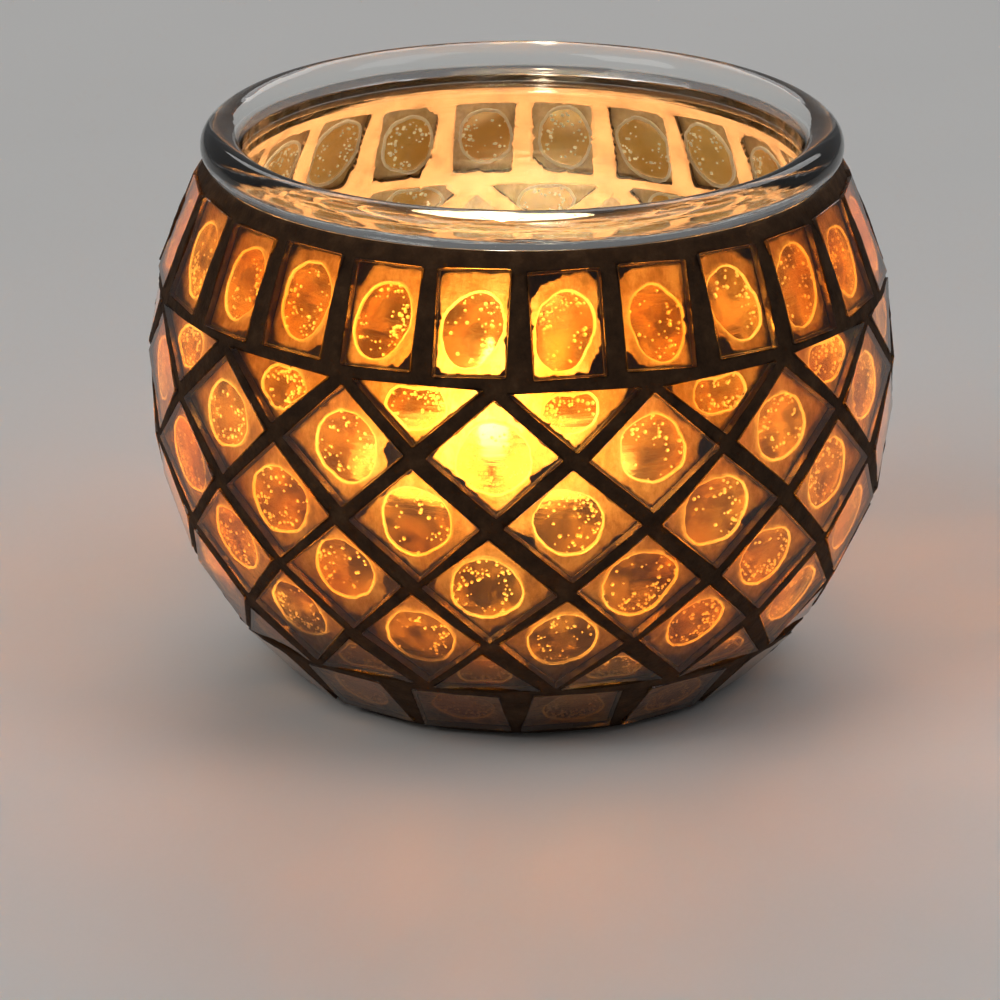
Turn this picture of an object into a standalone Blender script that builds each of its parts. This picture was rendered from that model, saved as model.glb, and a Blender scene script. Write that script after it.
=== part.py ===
"""Mosaic tealight holder.

A clear glass bowl with a rolled rim carries flat glass tiles, set in grout over its whole outside.
A tealight stands loose on the bowl's floor and lifts out through the mouth.
Metres, +Z up. The origin is on the bowl's axis, at the height of the surface that it stands on.
Angles around the axis are counted from the front, -Y, towards +X.
"""
from math import asin, cos, hypot, pi, radians, sin, sqrt

import bmesh
import bpy
from mathutils import Matrix, Vector

MM = 0.001

# Glass bowl: a power curve above the belly, a circular arc below it, a round bead on top.
BELLY_R = 47.9 * MM
BELLY_Z = 41.5 * MM
LOWER_ARC_R = 50.3 * MM
NECK_Z = 71.6 * MM
NECK_INSET = 7.9 * MM
SHOULDER_POWER = 2.4
WALL = 2.2 * MM
FLOOR = 4.2 * MM
FLOOR_EDGE_R = 27.0 * MM
RIM_R = 40.9 * MM
RIM_Z = 74.3 * MM
BEAD_R = 2.65 * MM
BOWL_STEPS = 40
GROUT_STEPS = 30
CURVE_POINTS = 6
BEAD_POINTS = 9
PATH_POINTS = 300

# Mosaic: tile faces lie FACE outside the glass, and the grout stops just under them.
FACE = 2.4 * MM
TILE_THICKNESS = 2.0 * MM
GAP = 0.3 * MM
POCKET_GAP = 0.25 * MM
POCKET_DEPTH = 3.4 * MM
POCKET_RISE = 1.7 * MM
GROUT_NEAR = 0.55 * MM
GROUT_FACE = 2.15 * MM
GROUT_TOP_Z = 70.6 * MM
GROUT_FOOT_Z = 0.4 * MM
FIELD_TOP_Z = 55.3 * MM
FIELD_FOOT_Z = 10.2 * MM

# Rows, from the top: upright tiles, then a diamond lattice that starts and ends with half diamonds,
# then near-square tiles that run in under the bowl.
ROW_TILES = 15
LATTICE_STARTS = (7.6, -4.2, 7.6, -5.3, 6.5, -7.0)
LATTICE_JOINTS = (1.8 * MM, 1.8 * MM, 1.8 * MM, 1.7 * MM, 1.6 * MM, 1.6 * MM)
COLLAR_TILES = 24
COLLAR_START = 7.0
COLLAR_WIDTH = 9.6 * MM
COLLAR_HEIGHT = 14.1 * MM
COLLAR_JOINT = 1.5 * MM
BASE_START = 11.0
BASE_WIDTH = 12.2 * MM
BASE_HEIGHT = 10.8 * MM
BASE_JOINT = 1.1 * MM

# Adhesive bands, which hold the tiles of a joined row together behind the grout.
BAND_NEAR = 0.45 * MM
BAND_FAR = 1.0 * MM
BAND_HALF = 0.38 * MM
BAND_STEPS = 30

# Tealight
CUP_R = 19.0 * MM
CUP_LIP_R = 19.4 * MM
CUP_HEIGHT = 23.7 * MM
CUP_WALL = 0.4 * MM
CUP_CORNER = 1.0 * MM
CUP_CENTRE = Vector((-4.3 * MM, 0.0, FLOOR + GAP))
WAX_TOP = 21.8 * MM
WICK_R = 1.0 * MM
WICK_TOP = 27.0 * MM
TUBE_R = 1.7 * MM
TUBE_TOP = 5.0 * MM
DISC_R = 6.5 * MM
DISC_Z = CUP_WALL + GAP
DISC_TOP = DISC_Z + 0.4 * MM
CUP_STEPS = 32
HOLDER_STEPS = 16
WICK_STEPS = 8


# --- scene, objects and materials ---------------------------------------------------------------

def clear_scene():
    for obj in list(bpy.data.objects):
        bpy.data.objects.remove(obj, do_unlink=True)


def new_collection(name):
    collection = bpy.data.collections.new(name)
    bpy.context.scene.collection.children.link(collection)
    return collection


def principled(name, color, roughness, metallic=0.0, transmission=0.0):
    material = bpy.data.materials.new(name)
    material.use_nodes = True
    shader = material.node_tree.nodes["Principled BSDF"]
    shader.inputs["Base Color"].default_value = (*color, 1.0)
    shader.inputs["Roughness"].default_value = roughness
    shader.inputs["Metallic"].default_value = metallic
    shader.inputs["Transmission Weight"].default_value = transmission
    material.diffuse_color = (*color, 1.0)
    return material


def clear_glass():
    return principled("clear_glass", (0.90, 0.93, 0.91), 0.04, transmission=1.0)


def amber_glass():
    return principled("amber_glass", (0.85, 0.45, 0.08), 0.10, transmission=0.9)


def dark_grout():
    return principled("dark_grout", (0.09, 0.05, 0.03), 0.90)


def pressed_aluminium():
    return principled("pressed_aluminium", (0.82, 0.83, 0.84), 0.32, metallic=1.0)


def white_wax():
    return principled("white_wax", (0.93, 0.91, 0.85), 0.45)


def cotton_wick():
    return principled("cotton_wick", (0.16, 0.13, 0.10), 0.90)


def tinned_steel():
    return principled("tinned_steel", (0.55, 0.55, 0.57), 0.40, metallic=1.0)


def add_object(name, mesh, collection, material=None):
    obj = bpy.data.objects.new(name, mesh)
    collection.objects.link(obj)
    if material:
        mesh.materials.append(material)
    return obj


def add_cutter(name, mesh, collection):
    cutter = add_object(name, mesh, collection)
    cutter.hide_render = True
    cutter.display_type = "WIRE"
    return cutter


def boolean(obj, operation, other):
    modifier = obj.modifiers.new(operation.lower() + "_" + other.name, "BOOLEAN")
    modifier.operation = operation
    modifier.solver = "EXACT"
    modifier.object = other


def profile_mesh(name, outlines):
    """Edges in the XZ plane; each outline is (points, closed), with points as (radius, height)."""
    mesh = bpy.data.meshes.new(name)
    vertices, edges = [], []
    for points, closed in outlines:
        first = len(vertices)
        vertices += [(radius, 0.0, height) for radius, height in points]
        edges += [(first + i, first + i + 1) for i in range(len(points) - 1)]
        if closed:
            edges.append((first + len(points) - 1, first))
    mesh.from_pydata(vertices, edges, [])
    return mesh


def screw(obj, steps):
    modifier = obj.modifiers.new("turn", "SCREW")
    modifier.axis = "Z"
    modifier.steps = steps
    modifier.render_steps = steps
    modifier.use_merge_vertices = True
    modifier.merge_threshold = 0.00001
    modifier.use_smooth_shade = True


def turned(name, outlines, steps, collection, material):
    obj = add_object(name, profile_mesh(name, outlines), collection, material)
    screw(obj, steps)
    return obj


# --- the bowl's outline -------------------------------------------------------------------------

def shoulder_points(offset, top_z, count):
    """The outline from top_z down to just above the belly, moved out along its normal by offset."""
    points = []
    height = NECK_Z - BELLY_Z
    for i in range(count):
        z = top_z + (BELLY_Z - top_z) * i / count
        share = (z - BELLY_Z) / height
        radius = BELLY_R - NECK_INSET * share ** SHOULDER_POWER
        slope = -SHOULDER_POWER * NECK_INSET / height * share ** (SHOULDER_POWER - 1)
        length = hypot(1.0, slope)
        points.append((radius + offset / length, z - offset * slope / length))
    return points


def lower_points(offset, end_z, count):
    """The arc from the belly down to end_z, moved out by offset."""
    arc_r = LOWER_ARC_R + offset
    centre_r = BELLY_R - LOWER_ARC_R
    end_angle = asin((BELLY_Z - end_z) / arc_r)
    angles = [end_angle * i / count for i in range(count + 1)]
    return [(centre_r + arc_r * cos(a), BELLY_Z - arc_r * sin(a)) for a in angles]


def outline(offset, top_z, end_z, count=CURVE_POINTS):
    return shoulder_points(offset, top_z, count) + lower_points(offset, end_z, count)


def bead_points():
    """The rolled rim, from the neck's inner side over the top to its outer side."""
    start, end = radians(210), radians(-105)
    angles = [start + (end - start) * i / (BEAD_POINTS - 1) for i in range(BEAD_POINTS)]
    return [(RIM_R + BEAD_R * cos(a), RIM_Z + BEAD_R * sin(a)) for a in angles]


def glass_bowl(collection):
    inner = outline(-WALL, NECK_Z, FLOOR + GAP)
    inner.reverse()
    outer = outline(0.0, NECK_Z, 0.0)
    points = [(0.0, FLOOR), (FLOOR_EDGE_R, FLOOR)] + inner + bead_points() + outer + [(0.0, 0.0)]
    return turned("glass_bowl", [(points, False)], BOWL_STEPS, collection, clear_glass())


# --- places on the mosaic's face ----------------------------------------------------------------

FACE_POINTS = outline(FACE, NECK_Z, 0.0, PATH_POINTS)


def running_lengths(points):
    lengths = [0.0]
    for here, there in zip(points, points[1:]):
        lengths.append(lengths[-1] + hypot(there[0] - here[0], there[1] - here[1]))
    return lengths


FACE_LENGTHS = running_lengths(FACE_POINTS)


def length_at_height(z):
    """How far down the face's outline a height lies, counted from the outline's top."""
    for i, (here, there) in enumerate(zip(FACE_POINTS, FACE_POINTS[1:])):
        if here[1] >= z >= there[1]:
            share = (here[1] - z) / (here[1] - there[1])
            return FACE_LENGTHS[i] + share * (FACE_LENGTHS[i + 1] - FACE_LENGTHS[i])
    raise ValueError("height off the face's outline")


def face_point(length):
    """Radius and height on the face's outline, and its downward direction there."""
    i = 0
    while FACE_LENGTHS[i + 1] < length:
        i += 1
    (r0, z0), (r1, z1) = FACE_POINTS[i], FACE_POINTS[i + 1]
    span = FACE_LENGTHS[i + 1] - FACE_LENGTHS[i]
    share = (length - FACE_LENGTHS[i]) / span
    return r0 + share * (r1 - r0), z0 + share * (z1 - z0), (r1 - r0) / span, (z1 - z0) / span


def face_frame(length, degrees_from_front):
    """X along the row, Y up the wall, Z out of it, at a point of the tiles' outer face."""
    radius, z, down_r, down_z = face_point(length)
    angle = radians(degrees_from_front)
    outward = Vector((sin(angle), -cos(angle), 0.0))
    along = Vector((cos(angle), sin(angle), 0.0))
    up = outward * -down_r + Vector((0.0, 0.0, -down_z))
    frame = Matrix.Identity(4)
    frame.col[0].xyz = along
    frame.col[1].xyz = up
    frame.col[2].xyz = along.cross(up)
    frame.col[3].xyz = outward * radius + Vector((0.0, 0.0, z))
    return frame


# --- tiles --------------------------------------------------------------------------------------

LATTICE_TOP = length_at_height(FIELD_TOP_Z)
LATTICE_PITCH = (length_at_height(FIELD_FOOT_Z) - LATTICE_TOP) / (len(LATTICE_STARTS) - 1)
LAST_ROW = len(LATTICE_STARTS) - 1


class Tile:
    """A flat tile: a prism with 3 or 4 sides, whose frame lies on its outer face.

    half_x and half_y scale an outline of circumradius 1, after it is spun about its middle.
    """

    def __init__(self, name, length, angle, sides, spin, half_x, half_y, inradius):
        self.name = name
        self.frame = face_frame(length, angle)
        self.sides = sides
        self.spin = radians(spin)
        self.half_x = half_x
        self.half_y = half_y
        self.inradius = inradius

    def prism(self, bm, size, depth, rise):
        """From depth under the face to rise over it; sides run along the bowl's radii."""
        place = Matrix.Translation((0.0, 0.0, (rise - depth) / 2))
        scale = Matrix.Diagonal((self.half_x * size, self.half_y * size, 1.0, 1.0))
        bmesh.ops.create_cone(
            bm, cap_ends=True, segments=self.sides,
            radius1=1 - depth / BELLY_R, radius2=1 + rise / BELLY_R, depth=depth + rise,
            matrix=self.frame @ place @ scale @ Matrix.Rotation(self.spin, 4, "Z"))

    def add_tile(self, bm):
        self.prism(bm, 1.0, TILE_THICKNESS, 0.0)

    def add_pocket(self, bm):
        self.prism(bm, 1 + POCKET_GAP / self.inradius, POCKET_DEPTH, POCKET_RISE)


def collar_tiles():
    length = LATTICE_TOP - COLLAR_JOINT - COLLAR_HEIGHT / 2
    half_x, half_y = COLLAR_WIDTH / sqrt(2), COLLAR_HEIGHT / sqrt(2)
    return [Tile(f"collar_tile_{k + 1:02d}", length, COLLAR_START + 360 * k / COLLAR_TILES,
                 4, 45, half_x, half_y, COLLAR_WIDTH / 2) for k in range(COLLAR_TILES)]


def base_tiles():
    length = LATTICE_TOP + LAST_ROW * LATTICE_PITCH + BASE_JOINT + BASE_HEIGHT / 2
    half_x, half_y = BASE_WIDTH / sqrt(2), BASE_HEIGHT / sqrt(2)
    return [Tile(f"base_tile_{k + 1:02d}", length, BASE_START + 360 * k / ROW_TILES,
                 4, 45, half_x, half_y, BASE_HEIGHT / 2) for k in range(ROW_TILES)]


def lattice_halves(row):
    """Half the width and height of a row's diamonds, less half a joint all round."""
    radius = face_point(LATTICE_TOP + row * LATTICE_PITCH)[0]
    cell_x, cell_y = pi * radius / ROW_TILES, LATTICE_PITCH
    share = 1 - LATTICE_JOINTS[row] / 2 * hypot(cell_x, cell_y) / (cell_x * cell_y)
    return cell_x * share, cell_y * share


def diamond_tiles(row):
    half_x, half_y = lattice_halves(row)
    inradius = half_x * half_y / hypot(half_x, half_y)
    return [Tile(f"diamond_{row}_{k + 1:02d}", LATTICE_TOP + row * LATTICE_PITCH,
                 LATTICE_STARTS[row] + 360 * k / ROW_TILES, 4, 0, half_x, half_y, inradius)
            for k in range(ROW_TILES)]


def triangle_tiles(row, name):
    """Half diamonds, with the flat edge up on row 0 and down on the last row."""
    half_x, half_y = lattice_halves(row)
    points_down = row == 0
    length = LATTICE_TOP + row * LATTICE_PITCH + (half_y / 3 if points_down else -half_y / 3)
    return [Tile(f"{name}_{k + 1:02d}", length, LATTICE_STARTS[row] + 360 * k / ROW_TILES,
                 3, 180 if points_down else 0, half_x * 2 / sqrt(3), half_y / 1.5, half_y / 3)
            for k in range(ROW_TILES)]


def mesh_of(name, add_shapes):
    """A mesh made of the shapes that the given functions add."""
    mesh = bpy.data.meshes.new(name)
    bm = bmesh.new()
    for add_shape in add_shapes:
        add_shape(bm)
    bm.to_mesh(mesh)
    bm.free()
    return mesh


def separate_tiles(tiles, collection, material):
    for tile in tiles:
        add_object(tile.name, mesh_of(tile.name, [tile.add_tile]), collection, material)


def band_outline(length, half, near, far):
    """A closed loop across an adhesive band: near and far are distances out of the glass."""
    loop = []
    for side, depth in ((-half, far), (half, far), (half, near), (-half, near)):
        radius, z, down_r, down_z = face_point(length + side)
        loop.append((radius + down_z * (FACE - depth), z - down_r * (FACE - depth)))
    return loop, True


def joined_row(name, tiles, band_length, collection, cutters, material):
    """Tiles held by one adhesive band, so the row is one body."""
    band = [band_outline(band_length, BAND_HALF, BAND_NEAR, BAND_FAR)]
    row = turned(name, band, BAND_STEPS, collection, material)
    tile_set = add_cutter(name + "_tiles", mesh_of(name, [t.add_tile for t in tiles]), cutters)
    boolean(row, "UNION", tile_set)


# --- grout --------------------------------------------------------------------------------------

def grout(tiles, band_lengths, collection, cutters):
    """The grout net: a skin over the glass, with a pocket for each tile and a groove for each band."""
    outer = outline(GROUT_FACE, GROUT_TOP_Z, GROUT_FOOT_Z)
    inner = outline(GROUT_NEAR, GROUT_TOP_Z, GROUT_FOOT_Z)
    inner.reverse()
    net = turned("grout", [(outer + inner, True)], GROUT_STEPS, collection, dark_grout())
    pockets = add_cutter("pockets", mesh_of("pockets", [t.add_pocket for t in tiles]), cutters)
    grooves = [band_outline(length, BAND_HALF + POCKET_GAP, -GAP, BAND_FAR + POCKET_GAP)
               for length in band_lengths]
    groove_rings = add_cutter("grooves", profile_mesh("grooves", grooves), cutters)
    screw(groove_rings, BAND_STEPS)
    boolean(net, "DIFFERENCE", pockets)
    boolean(net, "DIFFERENCE", groove_rings)


# --- tealight -----------------------------------------------------------------------------------

def cup_outline():
    inside, lip = CUP_R - CUP_WALL, CUP_LIP_R - CUP_R
    return [(0.0, CUP_WALL), (inside - CUP_CORNER, CUP_WALL), (inside, CUP_WALL + CUP_CORNER),
            (inside, CUP_HEIGHT), (CUP_LIP_R, CUP_HEIGHT), (CUP_LIP_R, CUP_HEIGHT - lip),
            (CUP_R, CUP_HEIGHT - 2 * lip), (CUP_R, CUP_CORNER), (CUP_R - CUP_CORNER, 0.0), (0.0, 0.0)]


def wick_holder_outline():
    bore = WICK_R + GAP
    return [(0.0, DISC_TOP), (bore, DISC_TOP), (bore, TUBE_TOP), (TUBE_R, TUBE_TOP),
            (TUBE_R, DISC_TOP), (DISC_R, DISC_TOP), (DISC_R, DISC_Z), (0.0, DISC_Z)]


def wick_outline():
    foot = DISC_TOP + GAP
    return [(0.0, WICK_TOP), (WICK_R, WICK_TOP), (WICK_R, foot), (0.0, foot)]


def wax_outline():
    """A block with a hollow for the wick holder and a hole for the wick."""
    edge, foot = CUP_R - CUP_WALL - GAP, CUP_WALL + GAP
    bore = WICK_R + GAP
    return [(edge, WAX_TOP), (edge, foot + CUP_CORNER), (edge - CUP_CORNER, foot),
            (DISC_R + GAP, foot), (DISC_R + GAP, DISC_TOP + GAP), (TUBE_R + GAP, DISC_TOP + GAP),
            (TUBE_R + GAP, TUBE_TOP + GAP), (bore, TUBE_TOP + GAP), (bore, WAX_TOP)]


def tealight(collection):
    """A cup with its wax, wick and wick holder, all about the tealight's own axis."""
    axis = bpy.data.objects.new("tealight_axis", None)
    axis.location = CUP_CENTRE
    collection.objects.link(axis)
    pieces = [
        turned("tealight_cup", [(cup_outline(), False)], CUP_STEPS, collection, pressed_aluminium()),
        turned("wick_holder", [(wick_holder_outline(), False)], HOLDER_STEPS, collection, tinned_steel()),
        turned("wick", [(wick_outline(), False)], WICK_STEPS, collection, cotton_wick()),
        turned("wax", [(wax_outline(), True)], CUP_STEPS, collection, white_wax())]
    for piece in pieces:
        piece.parent = axis


# --- the whole holder ---------------------------------------------------------------------------

def build():
    clear_scene()
    parts = new_collection("tealight_holder")
    cutters = new_collection("cutters")
    amber = amber_glass()

    collar, base = collar_tiles(), base_tiles()
    upper, lower = triangle_tiles(0, "upper_triangle"), triangle_tiles(LAST_ROW, "lower_triangle")
    diamonds = {row: diamond_tiles(row) for row in range(1, LAST_ROW)}
    lattice_foot = LATTICE_TOP + LAST_ROW * LATTICE_PITCH
    base_middle = lattice_foot + BASE_JOINT + BASE_HEIGHT / 2

    bands = {"lower_triangle_row": (lower, lattice_foot + BAND_HALF / 2),
             "base_tile_row": (base, base_middle)}
    for row, tiles in diamonds.items():
        bands[f"diamond_row_{row}"] = (tiles, LATTICE_TOP + row * LATTICE_PITCH)

    glass_bowl(parts)
    separate_tiles(collar, parts, amber)
    separate_tiles(upper, parts, amber)
    for name, (tiles, length) in bands.items():
        joined_row(name, tiles, length, parts, cutters, amber)
    all_tiles = collar + upper + lower + base + [t for tiles in diamonds.values() for t in tiles]
    grout(all_tiles, [length for _, length in bands.values()], parts, cutters)
    tealight(parts)


build()
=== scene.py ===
from math import asin, atan2, cos, hypot, pi, radians, sin, sqrt, tau
from random import Random

import bmesh
import bpy
from mathutils import Matrix, Vector, noise


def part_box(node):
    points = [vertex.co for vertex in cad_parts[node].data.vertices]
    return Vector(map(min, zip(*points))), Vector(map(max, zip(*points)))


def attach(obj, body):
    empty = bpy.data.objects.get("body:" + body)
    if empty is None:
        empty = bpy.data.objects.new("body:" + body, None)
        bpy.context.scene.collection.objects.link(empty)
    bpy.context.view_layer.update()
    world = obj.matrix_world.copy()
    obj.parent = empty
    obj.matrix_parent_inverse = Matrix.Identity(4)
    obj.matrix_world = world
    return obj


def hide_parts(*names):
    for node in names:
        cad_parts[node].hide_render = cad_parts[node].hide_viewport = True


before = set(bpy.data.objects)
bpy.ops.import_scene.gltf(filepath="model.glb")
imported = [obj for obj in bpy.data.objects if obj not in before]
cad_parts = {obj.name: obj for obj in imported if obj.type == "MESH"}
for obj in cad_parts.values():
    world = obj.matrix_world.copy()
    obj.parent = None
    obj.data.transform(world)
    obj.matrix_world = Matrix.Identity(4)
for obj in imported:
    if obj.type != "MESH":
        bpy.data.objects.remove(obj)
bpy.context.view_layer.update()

MM = 0.001

# Bowl outline, as in the CAD: a power curve above the belly, an arc below it, a bead on top.
BELLY_R = 47.9 * MM
BELLY_Z = 41.5 * MM
LOWER_ARC_R = 50.3 * MM
NECK_Z = 71.6 * MM
NECK_INSET = 7.9 * MM
SHOULDER_POWER = 2.4
WALL = 2.2 * MM
FLOOR = 4.2 * MM
FLOOR_EDGE_R = 27.0 * MM
RIM_R = 40.9 * MM
RIM_Z = 74.3 * MM
BEAD_R = 2.65 * MM

# Mosaic layout, as in the CAD.
FACE = 2.4 * MM
TILE_THICKNESS = 2.0 * MM
FIELD_TOP_Z = 55.3 * MM
FIELD_FOOT_Z = 10.2 * MM
ROW_TILES = 15
LATTICE_STARTS = (7.6, -4.2, 7.6, -5.3, 6.5, -7.0)
LATTICE_JOINTS = (1.8 * MM, 1.8 * MM, 1.8 * MM, 1.7 * MM, 1.6 * MM, 1.6 * MM)
COLLAR_TILES = 24
COLLAR_START = 7.0
COLLAR_WIDTH = 9.6 * MM
COLLAR_HEIGHT = 14.1 * MM
COLLAR_JOINT = 1.5 * MM
BASE_START = 11.0
BASE_WIDTH = 12.2 * MM
BASE_HEIGHT = 10.8 * MM
BASE_JOINT = 1.1 * MM
PATH_POINTS = 300

# The camera: a long lens, a little above the rim.
CAMERA_AT = Vector((-3.0, -845.0, 323.0)) * MM
CAMERA_AIM = Vector((-3.0, 0.0, 22.8)) * MM
CAMERA_LENS = 234.0
CAMERA_SENSOR = 36.0
CAMERA_CLIP_END = 30.0


# --- nodes and materials ------------------------------------------------------------------------
# Noise scales are cells per metre, so 1000 makes cells of 1 mm.

GLASS_IOR = 1.5
ADHESIVE_IOR = 1.42
WAX_IOR = 1.43


class Shader:
    """A material's node tree, with short calls for adding nodes and joining them."""

    def __init__(self, name):
        self.material = bpy.data.materials.new(name)
        self.material.use_nodes = True
        self.tree = self.material.node_tree
        self.tree.nodes.clear()
        self.out = self.tree.nodes.new("ShaderNodeOutputMaterial")

    def add(self, kind, **inputs):
        node = self.tree.nodes.new("ShaderNode" + kind)
        for key, value in inputs.items():
            self.put(node.inputs[key.replace("_", " ")], value)
        return node

    def put(self, socket, value):
        if isinstance(value, bpy.types.NodeSocket):
            self.tree.links.new(value, socket)
        elif isinstance(value, tuple) and len(value) == 3 and socket.type == "RGBA":
            socket.default_value = (*value, 1.0)
        else:
            socket.default_value = value

    def place(self, scale=(1.0, 1.0, 1.0)):
        """Object coordinates, stretched."""
        coordinates = self.add("TexCoord").outputs["Object"]
        return self.add("Mapping", Vector=coordinates, Scale=scale).outputs["Vector"]

    def noise(self, place, scale, detail=3.0, roughness=0.5):
        return self.add("TexNoise", Vector=place, Scale=scale, Detail=detail,
                        Roughness=roughness).outputs["Fac"]

    def ramp(self, value, stops):
        node = self.add("ValToRGB", Fac=value)
        elements = node.color_ramp.elements
        while len(elements) < len(stops):
            elements.new(0.5)
        for element, (position, color) in zip(elements, stops):
            element.position = position
            element.color = (*color, 1.0)
        return node.outputs["Color"]

    def cloudy(self, scale, first, second):
        """Two colours in soft clouds."""
        return self.ramp(self.noise(self.place(), scale), ((0.3, first), (0.7, second)))

    def span(self, value, low, high):
        """Carries 0..1 over to low..high."""
        return self.add("MapRange", Value=value, To_Min=low, To_Max=high).outputs["Result"]

    def speckle(self, scale, low, high):
        """A value that runs from low to high in spots."""
        return self.span(self.noise(self.place(), scale), low, high)

    def part_way(self, value, low, high, most=1.0):
        """Carries low..high over to 0..most."""
        node = self.add("MapRange", Value=value, From_Min=low, From_Max=high, To_Max=most)
        return node.outputs["Result"]

    def height_share(self, low, high):
        """0 at height low, 1 at height high."""
        place = self.add("TexCoord").outputs["Object"]
        return self.part_way(self.add("SeparateXYZ", Vector=place).outputs["Z"], low, high)

    def bump(self, height, distance, strength=1.0, normal=None):
        node = self.add("Bump", Height=height, Distance=distance, Strength=strength)
        if normal is not None:
            self.put(node.inputs["Normal"], normal)
        return node.outputs["Normal"]

    def mix(self, share, first, second):
        node = self.add("MixShader")
        self.put(node.inputs[0], share)
        self.put(node.inputs[1], first)
        self.put(node.inputs[2], second)
        return node.outputs[0]

    def clear(self, color, ior, roughness, **more):
        """Glass, adhesive or molten wax."""
        return self.add("BsdfPrincipled", Base_Color=color, IOR=ior, Roughness=roughness,
                        Transmission_Weight=1.0, **more).outputs[0]

    def lets_light_through(self, shader, color):
        """Lamps shine straight through, in this colour."""
        shadow = self.add("LightPath").outputs["Is Shadow Ray"]
        open_way = self.add("BsdfTransparent", Color=color).outputs[0]
        return self.mix(shadow, shader, open_way)

    def finish(self, shader):
        self.put(self.out.inputs["Surface"], shader)
        return self.material

    def finish_solid(self, color, roughness, **more):
        """The material as one opaque Principled shader."""
        shader = self.add("BsdfPrincipled", Base_Color=color, Roughness=roughness, **more)
        return self.finish(shader.outputs[0])


def clear_glass():
    s = Shader("bowl_glass")
    streaks = s.noise(s.place((60.0, 60.0, 900.0)), 1.0, 4.0)
    specks = s.noise(s.place(), 350.0, 2.0)
    glass = s.clear((0.97, 0.985, 0.97), GLASS_IOR, s.span(specks, 0.0, 0.07),
                    Normal=s.bump(streaks, 0.08 * MM, 0.6))
    return s.finish(s.lets_light_through(glass, (0.97, 0.98, 0.97)))


AMBER_DEEP = (0.88, 0.33, 0.035)
AMBER_PALE = (0.97, 0.50, 0.11)


def darkened(color, share):
    return tuple(share * channel for channel in color)


def amber_color(s):
    return s.ramp(s.noise(s.place(), 70.0, 2.0), ((0.35, AMBER_DEEP), (0.65, AMBER_PALE)))


def amber_mottle(s):
    """The cast back's colour: cloudy, with streaks that run up the wall."""
    tone = s.noise(s.place((1.0, 1.0, 0.55)), 330.0, 6.0, 0.72)
    return s.ramp(tone, ((0.34, darkened(AMBER_DEEP, 0.18)), (0.47, darkened(AMBER_DEEP, 0.38)),
                         (0.62, darkened(AMBER_PALE, 0.58))))


def amber_waves(s, strength):
    fine = s.noise(s.place((1.0, 1.0, 2.2)), 420.0)
    return s.bump(fine, 0.04 * MM, strength)


def amber_glass():
    s = Shader("amber_glass")
    glass = s.clear(amber_color(s), GLASS_IOR, s.speckle(500.0, 0.02, 0.10),
                    Normal=amber_waves(s, 0.14))
    return s.finish(s.lets_light_through(glass, (0.34, 0.20, 0.06)))


def amber_back():
    """The tile's cast back, which scatters light wherever no adhesive wets it."""
    s = Shader("amber_glass_cast_back")
    color = amber_mottle(s)
    grain = s.noise(s.place((1.0, 1.0, 1.6)), 900.0, 4.0)
    normal = s.bump(grain, 0.10 * MM, 0.8)
    glass = s.clear(color, GLASS_IOR, 0.45, Normal=normal)
    glow = s.add("BsdfTranslucent", Color=color, Normal=normal).outputs[0]
    both = s.mix(s.speckle(260.0, 0.02, 0.16), glass, glow)
    return s.finish(s.lets_light_through(both, (0.25, 0.14, 0.03)))


def amber_wetted_back():
    """The back where adhesive wets it: nearly clear, with a little haze."""
    s = Shader("amber_glass_wetted_back")
    color = amber_color(s)
    glass = s.clear(color, GLASS_IOR, s.speckle(500.0, 0.06, 0.18), Normal=amber_waves(s, 0.45))
    haze = s.add("BsdfTranslucent", Color=color).outputs[0]
    share = s.part_way(s.noise(s.place(), 210.0, 5.0, 0.6), 0.42, 0.62, 0.20)
    both = s.mix(share, glass, haze)
    return s.finish(s.lets_light_through(both, (0.5, 0.28, 0.07)))


def amber_bedded_side():
    """The tile's sides: mostly wetted by the dark grout, clear in a few stretches."""
    s = Shader("amber_glass_bedded_side")
    glass = s.clear(amber_color(s), GLASS_IOR, 0.12)
    bed_color = s.cloudy(600.0, (0.030, 0.012, 0.004), (0.080, 0.036, 0.012))
    bed = s.add("BsdfPrincipled", Base_Color=bed_color, Roughness=0.6).outputs[0]
    share = s.part_way(s.noise(s.place(), 120.0), 0.38, 0.52)
    return s.finish(s.mix(share, glass, bed))


def clear_glue():
    s = Shader("adhesive_clear")
    color = s.cloudy(400.0, (0.95, 0.93, 0.88), (0.99, 0.98, 0.96))
    glue = s.clear(color, ADHESIVE_IOR, s.speckle(600.0, 0.0, 0.08))
    return s.finish(s.lets_light_through(glue, (0.97, 0.96, 0.93)))


def glue_edge():
    """The dot's rounded rim and its bubbles, which catch the light."""
    s = Shader("adhesive_edge")
    color = s.cloudy(500.0, (0.88, 0.85, 0.78), (0.98, 0.97, 0.93))
    glow = s.add("BsdfTranslucent", Color=color).outputs[0]
    both = s.mix(0.5, s.clear(color, ADHESIVE_IOR, 0.6), glow)
    return s.finish(s.lets_light_through(both, (0.9, 0.88, 0.82)))


def dark_grout():
    s = Shader("grout_dark")
    place = s.place()
    patches = s.noise(place, 320.0, 5.0, 0.65)
    color = s.ramp(patches, ((0.30, (0.024, 0.010, 0.003)), (0.55, (0.055, 0.025, 0.009)),
                             (0.80, (0.100, 0.050, 0.022))))
    grain = s.noise(place, 2200.0, 4.0, 0.6)
    lumps = s.bump(s.noise(place, 420.0), 0.30 * MM, 0.8)
    return s.finish_solid(color, s.span(grain, 0.75, 0.98), Specular_IOR_Level=0.22,
                          Normal=s.bump(grain, 0.12 * MM, 1.0, lumps))


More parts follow.
